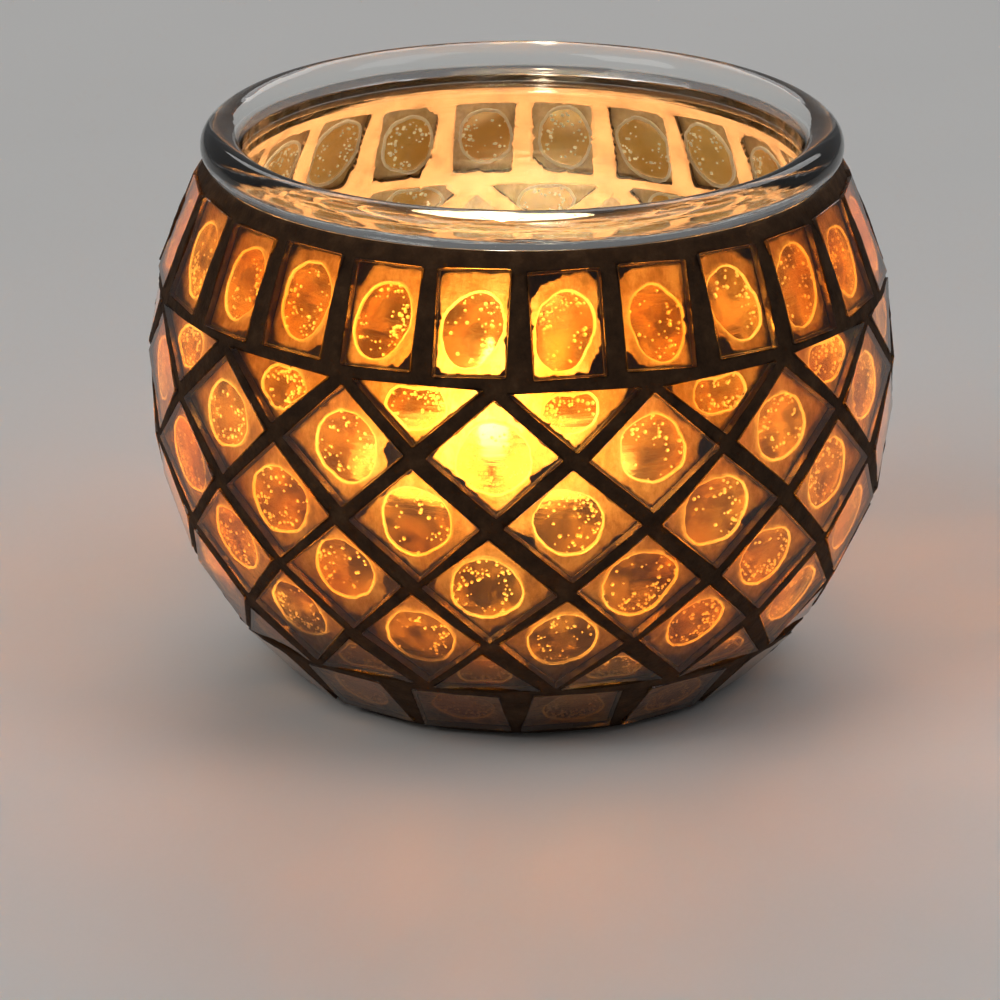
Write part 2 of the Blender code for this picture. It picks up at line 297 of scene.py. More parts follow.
def painted_light_and_pale_skin_grout():
    """Where the grout lies against the glass it is pale: partly its pale cement skin, partly painted
    candlelight, as that is the side the candle lights.
    """
    s = Shader("grout_painted_light_and_pale_skin")
    place = s.place()
    patches = s.noise(place, 230.0, 4.0)
    color = s.ramp(patches, ((0.25, (0.23, 0.11, 0.045)), (0.45, (0.44, 0.23, 0.105)),
                             (0.75, (0.54, 0.31, 0.155))))
    grain = s.noise(place, 1500.0, 4.0)
    return s.finish_solid(color, s.span(grain, 0.7, 0.95), Normal=s.bump(grain, 0.05 * MM, 0.6))


def pressed_aluminium():
    s = Shader("pressed_aluminium")
    rubbed = s.noise(s.place((1.0, 1.0, 0.05)), 1800.0)
    color = s.ramp(rubbed, ((0.3, (0.68, 0.68, 0.69)), (0.7, (0.86, 0.86, 0.87))))
    return s.finish_solid(color, s.span(rubbed, 0.22, 0.42), Metallic=1.0,
                          Normal=s.bump(rubbed, 0.02 * MM, 0.4))


def white_wax():
    s = Shader("white_wax")
    cloud = s.noise(s.place(), 160.0)
    color = s.ramp(cloud, ((0.3, (0.66, 0.62, 0.54)), (0.7, (0.76, 0.73, 0.66))))
    return s.finish_solid(color, s.span(cloud, 0.32, 0.5), Subsurface_Weight=0.35,
                          Subsurface_Radius=(1.0, 0.7, 0.45), Subsurface_Scale=2.5 * MM,
                          Normal=s.bump(s.noise(s.place(), 700.0), 0.03 * MM, 0.4))


def molten_wax():
    s = Shader("molten_wax")
    color = s.cloudy(90.0, (0.97, 0.93, 0.82), (0.99, 0.97, 0.90))
    wax = s.clear(color, WAX_IOR, s.speckle(200.0, 0.01, 0.04))
    return s.finish(s.lets_light_through(wax, (0.97, 0.95, 0.90)))


def charred_cotton():
    s = Shader("charred_cotton")
    fibres = s.noise(s.place((1.0, 1.0, 0.4)), 2600.0)
    color = s.ramp(fibres, ((0.3, (0.010, 0.008, 0.007)), (0.8, (0.060, 0.045, 0.035))))
    return s.finish_solid(color, 0.9, Normal=s.bump(fibres, 0.08 * MM, 0.9))


def ember():
    s = Shader("ember")
    glow = s.noise(s.place(), 1500.0, 2.0)
    color = s.ramp(glow, ((0.3, (0.25, 0.02, 0.0)), (0.7, (1.0, 0.20, 0.02))))
    return s.finish_solid((0.03, 0.015, 0.01), 0.9, Emission_Color=color, Emission_Strength=3.0)


def tinned_steel():
    s = Shader("tinned_steel")
    patches = s.noise(s.place(), 900.0)
    color = s.ramp(patches, ((0.3, (0.45, 0.45, 0.47)), (0.7, (0.66, 0.66, 0.68))))
    return s.finish_solid(color, s.span(patches, 0.28, 0.5), Metallic=1.0,
                          Normal=s.bump(patches, 0.02 * MM, 0.5))


def flame_core(low, high):
    """Glows dull at the foot, near white above it, and orange at the tip."""
    s = Shader("flame_core")
    color = s.ramp(s.height_share(low, high),
                   ((0.0, (0.35, 0.20, 0.22)), (0.14, (1.0, 0.70, 0.42)), (0.32, (1.0, 0.96, 0.86)),
                    (0.85, (1.0, 0.90, 0.70)), (1.0, (1.0, 0.60, 0.22))))
    return s.finish(s.add("Emission", Color=color, Strength=16.0).outputs[0])


def flame_veil(low, high):
    """The thin outer flame: blue at the foot, orange above."""
    s = Shader("flame_veil")
    color = s.ramp(s.height_share(low, high),
                   ((0.0, (0.10, 0.16, 0.75)), (0.22, (1.0, 0.42, 0.10)), (1.0, (1.0, 0.36, 0.06))))
    glow = s.add("Emission", Color=color, Strength=3.0).outputs[0]
    unlit = s.add("BsdfTransparent", Color=(1.0, 1.0, 1.0)).outputs[0]
    return s.finish(s.mix(0.35, unlit, glow))


def floor_paint():
    s = Shader("floor_paint")
    tone = s.noise(s.place(), 8.0)
    color = s.ramp(tone, ((0.3, (0.83, 0.82, 0.80)), (0.7, (0.87, 0.86, 0.84))))
    return s.finish_solid(color, s.span(tone, 0.5, 0.6),
                          Normal=s.bump(s.noise(s.place(), 900.0), 0.02 * MM, 0.3))


# --- objects ------------------------------------------------------------------------------------

def add_object(name, mesh, *materials):
    obj = bpy.data.objects.new(name, mesh)
    bpy.context.scene.collection.objects.link(obj)
    for material in materials:
        mesh.materials.append(material)
    return obj


def mesh_from(name, bm, smooth=True):
    bmesh.ops.recalc_face_normals(bm, faces=bm.faces)
    mesh = bpy.data.meshes.new(name)
    for face in bm.faces:
        face.smooth = smooth
    bm.to_mesh(mesh)
    bm.free()
    return mesh


def turned_bmesh(rings, closed):
    """rings holds lists of points around the axis; a closed loop of rings joins its ends, an open
    one is capped by a point at each end."""
    bm = bmesh.new()
    rows = [[bm.verts.new(p) for p in ring] for ring in rings]
    pairs = list(zip(rows, rows[1:])) + ([(rows[-1], rows[0])] if closed else [])
    for here, there in pairs:
        count = len(here)
        for i in range(count):
            j = (i + 1) % count
            bm.faces.new((here[i], here[j], there[j], there[i]))
    if not closed:
        for row in (rows[0], rows[-1]):
            middle = sum((v.co for v in row), Vector()) / len(row)
            tip = bm.verts.new(middle)
            for i in range(len(row)):
                bm.faces.new((row[i], row[(i + 1) % len(row)], tip))
    return bm


def ring_points(radius, height, steps, shape=None):
    """Points around the axis; shape(angle, radius, height) may change a point's radius and height."""
    points = []
    for k in range(steps):
        a = tau * k / steps
        r, z = shape(a, radius, height) if shape else (radius, height)
        points.append(Vector((r * cos(a), r * sin(a), z)))
    return points


def refined(points, step):
    """The same open line, with no two points further apart than step, give or take a hair."""
    line = [points[0]]
    for (x0, y0), (x1, y1) in zip(points, points[1:]):
        count = max(1, int(hypot(x1 - x0, y1 - y0) / step + 0.999))
        for i in range(1, count + 1):
            share = i / count
            line.append((x0 + share * (x1 - x0), y0 + share * (y1 - y0)))
    return line


def stepped(base_r, base_z, *steps):
    """Outline points at these steps, in mm, from a base point."""
    return [(base_r + r * MM, base_z + z * MM) for r, z in steps]


# --- the bowl's outline -------------------------------------------------------------------------

DEEPEST_FALL = 0.97 * LOWER_ARC_R
BEAD_START, BEAD_END = radians(210), radians(-105)


def shoulder(z):
    """The bowl's outer radius above the belly, and how fast it changes with height."""
    height = NECK_Z - BELLY_Z
    share = (z - BELLY_Z) / height
    radius = BELLY_R - NECK_INSET * share ** SHOULDER_POWER
    return radius, -SHOULDER_POWER * NECK_INSET / height * share ** (SHOULDER_POWER - 1)


def shoulder_points(offset, top_z, count):
    points = []
    for i in range(count):
        z = top_z + (BELLY_Z - top_z) * i / count
        radius, slope = shoulder(z)
        length = hypot(1.0, slope)
        points.append((radius + offset / length, z - offset * slope / length))
    return points


def lower_points(offset, end_z, count):
    arc_r = LOWER_ARC_R + offset
    centre_r = BELLY_R - LOWER_ARC_R
    end_angle = asin((BELLY_Z - end_z) / arc_r)
    angles = [end_angle * i / count for i in range(count + 1)]
    return [(centre_r + arc_r * cos(a), BELLY_Z - arc_r * sin(a)) for a in angles]


def outline(offset, top_z, end_z, count):
    return shoulder_points(offset, top_z, count) + lower_points(offset, end_z, count)


def bead_points(count):
    """The rolled rim's section, from inside the mouth over the top to the neck."""
    angles = [BEAD_START + (BEAD_END - BEAD_START) * i / (count - 1) for i in range(count)]
    return [(RIM_R + BEAD_R * cos(a), RIM_Z + BEAD_R * sin(a)) for a in angles]


def glass_radius_and_slope(z):
    """The bowl's outer radius at a height, and how fast it changes with height."""
    if z >= BELLY_Z:
        return shoulder(z)
    fall = min(BELLY_Z - z, DEEPEST_FALL)
    run = sqrt(LOWER_ARC_R ** 2 - fall ** 2)
    return BELLY_R - LOWER_ARC_R + run, fall / run


def height_over_glass(point):
    radius, slope = glass_radius_and_slope(point.z)
    return (hypot(point.x, point.y) - radius) / hypot(1.0, slope)


# --- places on the mosaic's face ----------------------------------------------------------------

FACE_POINTS = outline(FACE, NECK_Z, 0.0, PATH_POINTS)
FACE_LENGTHS = [0.0]
for here, there in zip(FACE_POINTS, FACE_POINTS[1:]):
    FACE_LENGTHS.append(FACE_LENGTHS[-1] + hypot(there[0] - here[0], there[1] - here[1]))


def length_at_height(z):
    for i, (here, there) in enumerate(zip(FACE_POINTS, FACE_POINTS[1:])):
        if here[1] >= z >= there[1]:
            share = (here[1] - z) / (here[1] - there[1])
            return FACE_LENGTHS[i] + share * (FACE_LENGTHS[i + 1] - FACE_LENGTHS[i])
    raise ValueError("height off the face's outline")


def face_point(length):
    """Radius and height at a length down the outline, and the way down from there."""
    i = 0
    while FACE_LENGTHS[i + 1] < length:
        i += 1
    (r0, z0), (r1, z1) = FACE_POINTS[i], FACE_POINTS[i + 1]
    span = FACE_LENGTHS[i + 1] - FACE_LENGTHS[i]
    share = (length - FACE_LENGTHS[i]) / span
    return r0 + share * (r1 - r0), z0 + share * (z1 - z0), (r1 - r0) / span, (z1 - z0) / span


def face_frame(length, degrees_from_front):
    """X along the row, Y up the wall, Z out of it, at a point of the tiles' outer face."""
    radius, z, down_r, down_z = face_point(length)
    angle = radians(degrees_from_front)
    outward = Vector((sin(angle), -cos(angle), 0.0))
    along = Vector((cos(angle), sin(angle), 0.0))
    up = outward * -down_r + Vector((0.0, 0.0, -down_z))
    place = Matrix.Identity(4)
    place.col[0].xyz = along
    place.col[1].xyz = up
    place.col[2].xyz = along.cross(up)
    place.col[3].xyz = outward * radius + Vector((0.0, 0.0, z))
    return place


LAST_ROW = len(LATTICE_STARTS) - 1
LATTICE_TOP = length_at_height(FIELD_TOP_Z)
LATTICE_PITCH = (length_at_height(FIELD_FOOT_Z) - LATTICE_TOP) / LAST_ROW


# --- tiles --------------------------------------------------------------------------------------

CORNER_R = 0.28 * MM
CORNER_SHARES = (0.0, 0.33, 0.67, 1.0)
EDGE_STEP = 0.7 * MM
BEVEL = 0.09 * MM

# How far off a tile is cut and laid by hand; turn and tilt in degrees.
LAY_TURN = 1.6
LAY_TILT = 0.5
LAY_SHIFT = 0.20 * MM
CORNER_SHIFT = 0.20 * MM

# The dot of adhesive behind a tile; turn in radians.
DOT_SHIFT = 0.5 * MM
DOT_SIZES = (0.92, 1.06)
DOT_TURN = 0.4
DOT_MARGIN = 0.45 * MM

# The window that the grout leaves around the dot.
CREEP_SPREAD = (0.75, 1.25)
WINDOW_MARGIN = 0.15 * MM
WINDOW_PAST_DOT = 0.35 * MM
WINDOW_CLIMB = 1.4 * MM
WINDOW_NIBBLE = 0.35 * MM
WINDOW_LEAST = 0.5 * MM

PARALLEL = 1e-12
HAIR = 1e-6


def heading(angle):
    return Vector((cos(angle), sin(angle)))


def off_by(rng, most):
    return rng.uniform(-1, 1) * most


def rounded(corners, radius):
    """A convex outline with its corners rounded."""
    points = []
    for i, corner in enumerate(corners):
        to_last = (corners[i - 1] - corner).normalized()
        to_next = (corners[(i + 1) % len(corners)] - corner).normalized()
        start, end = corner + to_last * radius, corner + to_next * radius
        for share in CORNER_SHARES:
            a, b = start.lerp(corner, share), corner.lerp(end, share)
            points.append(a.lerp(b, share))
    return points


def closed_refined(points, step):
    line = refined([tuple(p) for p in points] + [tuple(points[0])], step)[:-1]
    return [Vector(p) for p in line]


def reach(points, origin, angle):
    """How far a ray from origin runs inside a closed convex outline."""
    direction = heading(angle)
    best = 0.0
    for i, a in enumerate(points):
        b = points[(i + 1) % len(points)]
        edge = b - a
        cross = direction.x * edge.y - direction.y * edge.x
        if abs(cross) < PARALLEL:
            continue
        to_a = a - origin
        along = (to_a.x * edge.y - to_a.y * edge.x) / cross
        share = (to_a.x * direction.y - to_a.y * direction.x) / cross
        if -HAIR <= share <= 1 + HAIR and along > best:
            best = along
    return best


class Tile:
    """A flat tile laid by hand, its dot of adhesive, and the window the grout leaves behind it.
    dot is the plain dot's two radii and how far it sits above the tile's middle."""

    def __init__(self, name, node_name, length, angle, corners, dot, creep, rng):
        self.name = name
        self.node_name = node_name
        self.seed = rng.uniform(0.0, 500.0)
        lay = (Matrix.Translation((off_by(rng, LAY_SHIFT), off_by(rng, LAY_SHIFT), 0.0))
               @ Matrix.Rotation(radians(off_by(rng, LAY_TURN)), 4, "Z")
               @ Matrix.Rotation(radians(off_by(rng, LAY_TILT)), 4, "X")
               @ Matrix.Rotation(radians(off_by(rng, LAY_TILT)), 4, "Y"))
        self.frame = face_frame(length, angle) @ lay
        cut = [Vector((x + off_by(rng, CORNER_SHIFT), y + off_by(rng, CORNER_SHIFT)))
               for x, y in corners]
        self.outline = closed_refined(rounded(cut, CORNER_R), EDGE_STEP)
        dot_x, dot_y, dot_lift = dot
        self.dot_centre = Vector((off_by(rng, DOT_SHIFT), dot_lift + off_by(rng, DOT_SHIFT)))
        size = rng.uniform(*DOT_SIZES)
        self.dot_x, self.dot_y = dot_x * size, dot_y * size
        self.dot_turn = rng.uniform(-DOT_TURN, DOT_TURN)
        self.creep = creep * rng.uniform(*CREEP_SPREAD)

    def waver(self, angle, cycles, shift=0.0):
        """Smooth noise around the dot, about -1..1; each shift gives another one."""
        return 2.0 * noise.noise(Vector((cycles * cos(angle), cycles * sin(angle), self.seed + shift)))

    def dot_reach(self, angle):
        """The adhesive dot's radius in a direction, kept inside the tile."""
        a = angle - self.dot_turn
        plain = self.dot_x * self.dot_y / hypot(self.dot_y * cos(a), self.dot_x * sin(a))
        wobble = 1 + 0.07 * self.waver(angle, 1.0) + 0.02 * self.waver(angle, 4.0)
        edge = reach(self.outline, self.dot_centre, angle)
        return min(plain * wobble, edge - DOT_MARGIN)

    def window_reach(self, angle):
        """How far the clear window behind the tile runs before the grout starts."""
        edge = reach(self.outline, self.dot_centre, angle) - WINDOW_MARGIN
        soft = 0.7 + 0.6 * self.waver(angle, 1.1, 40.0)
        ragged = 0.30 * self.waver(angle, 4.0, 80.0) + 0.20 * self.waver(angle, 13.0)
        climb = WINDOW_CLIMB * max(0.0, sin(angle))
        clear = self.dot_reach(angle) + WINDOW_PAST_DOT + climb
        blob = clear + self.creep * max(0.0, soft) + ragged * MM
        nibbled = edge - WINDOW_NIBBLE * max(0.0, self.waver(angle, 7.0, 120.0))
        return max(min(nibbled, blob), WINDOW_LEAST)

    def at(self, point, depth):
        """A point of the tile's plane, that far under its face; the sides run along the bowl's radii."""
        taper = 1 - depth / BELLY_R
        return self.frame @ Vector((point.x * taper, point.y * taper, -depth))

    def over_glass(self, point, target):
        """The height in the tile's frame, at a point of its plane, that is target above the glass."""
        z = -FACE
        for _ in range(4):
            z -= height_over_glass(self.frame @ Vector((point.x, point.y, z))) - target
        return z


# Dots of adhesive: two radii and a lift, or shares of the tile. Creep is how far a window spreads.
COLLAR_DOT = (4.1 * MM, 5.5 * MM, -0.4 * MM)
BASE_DOT = (4.4 * MM, 4.2 * MM, 0.0)
DIAMOND_DOT = 0.82
TRIANGLE_DOT = 0.40
TRIANGLE_DOT_STRETCH = 1.35
TRIANGLE_DOT_LIFT = 0.36
COLLAR_CREEP = 2.8 * MM
BASE_CREEP = 3.0 * MM
LATTICE_CREEP = 4.6 * MM
LAYING_SEED = 41


def tile_ring(rng, glass_name, node_name, length, start, count, corners, dot, creep):
    """A row of equal tiles; a node_name with {:02d} in it takes the tile's number."""
    return [Tile(f"{glass_name}_{k + 1:02d}", node_name.format(k + 1), length,
                 start + 360 * k / count, corners, dot, creep, rng) for k in range(count)]


def oblong(width, height):
    x, y = width / 2, height / 2
    return (-x, -y), (x, -y), (x, y), (-x, y)


def collar_tiles(rng):
    length = LATTICE_TOP - COLLAR_JOINT - COLLAR_HEIGHT / 2
    return tile_ring(rng, "collar_glass", "collar_tile_{:02d}", length, COLLAR_START, COLLAR_TILES,
                     oblong(COLLAR_WIDTH, COLLAR_HEIGHT), COLLAR_DOT, COLLAR_CREEP)


def base_tiles(rng):
    length = LATTICE_TOP + LAST_ROW * LATTICE_PITCH + BASE_JOINT + BASE_HEIGHT / 2
    return tile_ring(rng, "base_glass", "base_tile_row", length, BASE_START, ROW_TILES,
                     oblong(BASE_WIDTH, BASE_HEIGHT), BASE_DOT, BASE_CREEP)


def lattice_halves(row):
    """Half a diamond's width and half its height in this row, inside its joints."""
    radius = face_point(LATTICE_TOP + row * LATTICE_PITCH)[0]
    cell_x, cell_y = pi * radius / ROW_TILES, LATTICE_PITCH
    share = 1 - LATTICE_JOINTS[row] / 2 * hypot(cell_x, cell_y) / (cell_x * cell_y)
    return cell_x * share, cell_y * share


def lattice_ring(rng, row, glass_name, node_name, corners, dot):
    return tile_ring(rng, glass_name, node_name, LATTICE_TOP + row * LATTICE_PITCH,
                     LATTICE_STARTS[row], ROW_TILES, corners, dot, LATTICE_CREEP)


def diamond_tiles(rng, row):
    x, y = lattice_halves(row)
    corners = ((x, 0.0), (0.0, y), (-x, 0.0), (0.0, -y))
    dot = DIAMOND_DOT * x * y / hypot(x, y)
    return lattice_ring(rng, row, f"diamond_glass_{row}", f"diamond_row_{row}", corners, (dot, dot, 0.0))


def triangle_tiles(rng, row, glass_name, node_name):
    """Half diamonds: the top row points down, the bottom row up."""
    x, y = lattice_halves(row)
    turn = -1 if row == 0 else 1
    corners = ((-x, 0.0), (x, 0.0), (0.0, y)) if turn > 0 else ((x, 0.0), (-x, 0.0), (0.0, -y))
    dot = TRIANGLE_DOT * y
    return lattice_ring(rng, row, glass_name, node_name, corners,
                        (dot * TRIANGLE_DOT_STRETCH, dot, turn * y * TRIANGLE_DOT_LIFT))


def all_tiles():
    rng = Random(LAYING_SEED)
    tiles = collar_tiles(rng)
    tiles += triangle_tiles(rng, 0, "upper_triangle_glass", "upper_triangle_{:02d}")
    for row in range(1, LAST_ROW):
        tiles += diamond_tiles(rng, row)
    tiles += triangle_tiles(rng, LAST_ROW, "lower_triangle_glass", "lower_triangle_row")
    return tiles + base_tiles(rng)


# --- tile, adhesive and grout meshes ------------------------------------------------------------

FACE_RINGS = (0.86, 0.68, 0.48, 0.26)
WAVE = 0.02 * MM
WAVE_SCALE = 260
WETTED_MOST = 0.92
SHARP_EDGE = radians(40)
CLEAR, CAST, WETTED, BEDDED = 0, 1, 2, 3


def scaled(points, centre, share):
    return [centre + (p - centre) * share for p in points]


def inset(points, distance):
    """A convex outline drawn in by about this distance."""
    middle = sum(points, Vector((0.0, 0.0))) / len(points)
    return [p + (middle - p).normalized() * distance for p in points]


def loop_strip(bm, here, there, material):
    for i in range(len(here)):
        j = (i + 1) % len(here)
        face = bm.faces.new((here[i], here[j], there[j], there[i]))
        face.material_index = material


def fan(bm, loop, tip, material):
    for i in range(len(loop)):
        face = bm.faces.new((loop[i], loop[(i + 1) % len(loop)], tip))
        face.material_index = material


def tile_mesh(tile):
    bm = bmesh.new()
    middle = Vector((0.0, 0.0))
    for p in tile.outline:
        middle += p / len(tile.outline)

    def loop(points, depth, wave=0.0):
        verts = []
        for p in points:
            lift = wave * noise.noise(Vector((p.x * WAVE_SCALE, p.y * WAVE_SCALE, tile.seed)))
            verts.append(bm.verts.new(tile.at(p, depth + lift)))
        return verts

    drawn_in = inset(tile.outline, BEVEL)
    rim = loop(drawn_in, 0.0)
    inner = rim
    for share in FACE_RINGS:
        ring = loop(scaled(drawn_in, middle, share), 0.0, WAVE)
        loop_strip(bm, inner, ring, CLEAR)
        inner = ring
    fan(bm, inner, bm.verts.new(tile.at(middle, 0.0)), CLEAR)
    upper = loop(tile.outline, BEVEL)
    lower = loop(tile.outline, TILE_THICKNESS - BEVEL)
    loop_strip(bm, rim, upper, CLEAR)
    loop_strip(bm, upper, lower, BEDDED)
    foot = loop(drawn_in, TILE_THICKNESS)
    loop_strip(bm, lower, foot, CLEAR)
    dot_points = []
    for p in drawn_in:
        away = p - tile.dot_centre
        wetted = min(tile.dot_reach(atan2(away.y, away.x)), away.length * WETTED_MOST)
        dot_points.append(tile.dot_centre + away.normalized() * wetted)
    dot = loop(dot_points, TILE_THICKNESS)
    loop_strip(bm, foot, dot, CAST)
    fan(bm, dot, bm.verts.new(tile.at(tile.dot_centre, TILE_THICKNESS)), WETTED)
    mesh = mesh_from(tile.name, bm)
    mesh.set_sharp_from_angle(angle=SHARP_EDGE)
    return mesh


DOT_STEPS = 40
DOT_GAP = 0.04 * MM
DOT_RINGS = (0.4, 0.75)
RING_WIDTH = 0.44 * MM
RING_SHOULDER = -0.4 * RING_WIDTH
SMOOTH, BRIGHT = 0, 1

# Bubbles swarm on one side of a dot, most of them small and near its edge.
BUBBLES = (34, 70)
BUBBLE_R = (0.13 * MM, 0.34 * MM)
BUBBLE_SMALLNESS = 1.5
BUBBLE_FLATTEST = 0.42
SWARM_SPREAD = 1.5
SWARM_REACH = (0.66, 0.17)
SWARM_LIMITS = (0.1, 0.9)


def glue_mesh(tile, name):
    """A dot pressed flat between the tile and the bowl: clear faces, a bright rounded edge, bubbles."""
    bm = bmesh.new()
    angles = [tau * i / DOT_STEPS for i in range(DOT_STEPS)]
    reaches = [tile.dot_reach(a) for a in angles]

    def gap(p):
        """Just above the glass and just under the tile, in the tile's frame."""
        return tile.over_glass(p, DOT_GAP), -TILE_THICKNESS - DOT_GAP

    def vertex(p, rise):
        """rise 0 is on the glass, 1 under the tile."""
        low, high = gap(p)
        return bm.verts.new(tile.frame @ Vector((p.x, p.y, low + rise * (high - low))))

    def loop(extra, rise, share=1.0):
        return [vertex(tile.dot_centre + heading(a) * (far * share + extra), rise)
                for a, far in zip(angles, reaches)]

    bottom = [loop(0.0, 0.0, share) for share in DOT_RINGS] + [loop(-RING_WIDTH, 0.0)]
    edge = [loop(RING_SHOULDER, 0.0), loop(0.0, 0.3), loop(0.0, 0.7), loop(RING_SHOULDER, 1.0)]
    top = [loop(-RING_WIDTH, 1.0)] + [loop(0.0, 1.0, share) for share in DOT_RINGS[::-1]]
    fan(bm, bottom[0], vertex(tile.dot_centre, 0.0), SMOOTH)
    rims = [bottom[-1]] + edge + [top[0]]
    for loops, finish in ((bottom, SMOOTH), (rims, BRIGHT), (top, SMOOTH)):
        for here, there in zip(loops, loops[1:]):
            loop_strip(bm, here, there, finish)
    fan(bm, top[-1], vertex(tile.dot_centre, 1.0), SMOOTH)

    rng = Random(int(tile.seed * 1000))
    nearest, furthest = SWARM_LIMITS
    smallest, largest = BUBBLE_R
    swarm = rng.uniform(0.0, tau)
    for _ in range(rng.randint(*BUBBLES)):
        a = swarm + rng.gauss(0.0, SWARM_SPREAD)
        far = tile.dot_reach(a) * min(furthest, max(nearest, rng.gauss(*SWARM_REACH)))
        p = tile.dot_centre + heading(a) * far
        low, high = gap(p)
        size = rng.uniform(0.0, 1.0) ** BUBBLE_SMALLNESS
        radius = smallest + size * (largest - smallest)
        flat = min(radius, BUBBLE_FLATTEST * (high - low))
        place = (tile.frame @ Matrix.Translation((p.x, p.y, (low + high) / 2))
                 @ Matrix.Diagonal((radius, radius, flat, 1.0)))
        made = bmesh.ops.create_icosphere(bm, subdivisions=1, radius=1.0, matrix=place)
        for v in made["verts"]:
            for face in v.link_faces:
                face.material_index = BRIGHT
    return mesh_from(name, bm)


GROUT_INNER = 0.05 * MM
GROUT_OUTER = 2.75 * MM
GROUT_END_DROP = 0.55 * MM
GROUT_END_RUN = 4.0 * MM
GROUT_TOP_Z = 70.6 * MM
GROUT_FOOT_Z = 0.4 * MM
GROUT_STEPS = 300
GROUT_STEP = 0.9 * MM
GROUT_INNER_STEP = 2.5 * MM
GROUT_OUTLINE_COUNT = 30
GROUT_ROUGH = 0.13 * MM
GROUT_LUMPS, GROUT_GRAINS = 420, 1100
# Grout faces within this depth of the glass take the pale colour, which is partly painted candlelight.
LIT_PALE_SIDE_DEPTH = 0.30 * MM
DARK, PALE = 0, 1

# A slab cutter sticks out of a tile's face, and a window cutter reaches from the tile into the glass.
SLAB_GAP = 0.02 * MM
SLAB_OUT = 1.6 * MM
WINDOW_DEPTHS = (FACE + 1.3 * MM, TILE_THICKNESS - 0.5 * MM)
WINDOW_STEPS = 96


def prism(bm, bottom, top):
    low = [bm.verts.new(p) for p in bottom]
    high = [bm.verts.new(p) for p in top]
    count = len(low)
    for i in range(count):
        j = (i + 1) % count
        bm.faces.new((low[i], low[j], high[j], high[i]))
    bm.faces.new(low[::-1])
    bm.faces.new(high)


def slab_cutter(tiles):
    bm = bmesh.new()
    for tile in tiles:
        edge = inset(tile.outline, -SLAB_GAP)
        bottom = [tile.at(p, TILE_THICKNESS + SLAB_GAP) for p in edge]
        prism(bm, bottom, [tile.at(p, -SLAB_OUT) for p in edge])
    return mesh_from("slab_cutter", bm, False)


def window_cutter(tiles):
    bm = bmesh.new()
    angles = [tau * i / WINDOW_STEPS for i in range(WINDOW_STEPS)]
    for tile in tiles:
        edge = [tile.dot_centre + heading(a) * tile.window_reach(a) for a in angles]
        bottom, top = ([tile.at(p, depth) for p in edge] for depth in WINDOW_DEPTHS)
        prism(bm, bottom, top)
    return mesh_from("window_cutter", bm, False)


def final_mesh(obj, name):
    """The object's mesh with its modifiers applied."""
    bpy.context.view_layer.update()
    done = obj.evaluated_get(bpy.context.evaluated_depsgraph_get())
    mesh = bpy.data.meshes.new_from_object(done)
    mesh.name = name
    mesh.materials.clear()
    return mesh


def grout_mesh(tiles):
    """One rough net over the bowl, thin at both ends, cut by the tiles and their windows."""
    def roughened(a, radius, height):
        spot = Vector((radius * cos(a), radius * sin(a), height))
        lumps, grains = noise.noise(spot * GROUT_LUMPS), noise.noise(spot * GROUT_GRAINS)
        lift = GROUT_ROUGH * (lumps + 0.6 * grains)
        to_end = min(GROUT_TOP_Z - height, height - GROUT_FOOT_Z) / GROUT_END_RUN
        drop = GROUT_END_DROP * (1.0 - min(1.0, max(0.0, to_end)))
        return radius + lift - drop, height + (0.5 * lift if to_end < 0.5 else 0.0)

    outer, inner = (outline(offset, GROUT_TOP_Z, GROUT_FOOT_Z, GROUT_OUTLINE_COUNT)
                    for offset in (GROUT_OUTER, GROUT_INNER))
    rings = [ring_points(r, z, GROUT_STEPS, roughened) for r, z in refined(outer, GROUT_STEP)]
    rings += [ring_points(r, z, GROUT_STEPS) for r, z in refined(inner[::-1], GROUT_INNER_STEP)]
    net = add_object("grout_net", mesh_from("grout_net", turned_bmesh(rings, True)))
    for cutter in (slab_cutter(tiles), window_cutter(tiles)):
        tool = add_object(cutter.name, cutter)
        modifier = net.modifiers.new(cutter.name, "BOOLEAN")
        modifier.operation = "DIFFERENCE"
        modifier.solver = "MANIFOLD"
        modifier.object = tool
    mesh = final_mesh(net, "grout_net")
    for name in ("slab_cutter", "window_cutter", "grout_net"):
        bpy.data.objects.remove(bpy.data.objects[name])
    # Faces against the glass, the side the candle lights, get the pale material: partly a pale skin,
    # partly painted light.
    for face in mesh.polygons:
        face.material_index = PALE if height_over_glass(face.center) < LIT_PALE_SIDE_DEPTH else DARK
    return mesh


# --- bowl ---------------------------------------------------------------------------------------

BOWL_STEPS = 256
BOWL_STEP = 1.2 * MM
BOWL_OUTLINE_COUNT = 36
BEAD_COUNT = 40
BOWL_WAVE = 0.05 * MM
NECK_WAVE = 0.02 * MM
WAVES_FROM_Z = 64 * MM
WAVES_RUN = 8 * MM
FLOOR_FILLET = 0.3 * MM
FOOT_EDGE = 0.6 * MM


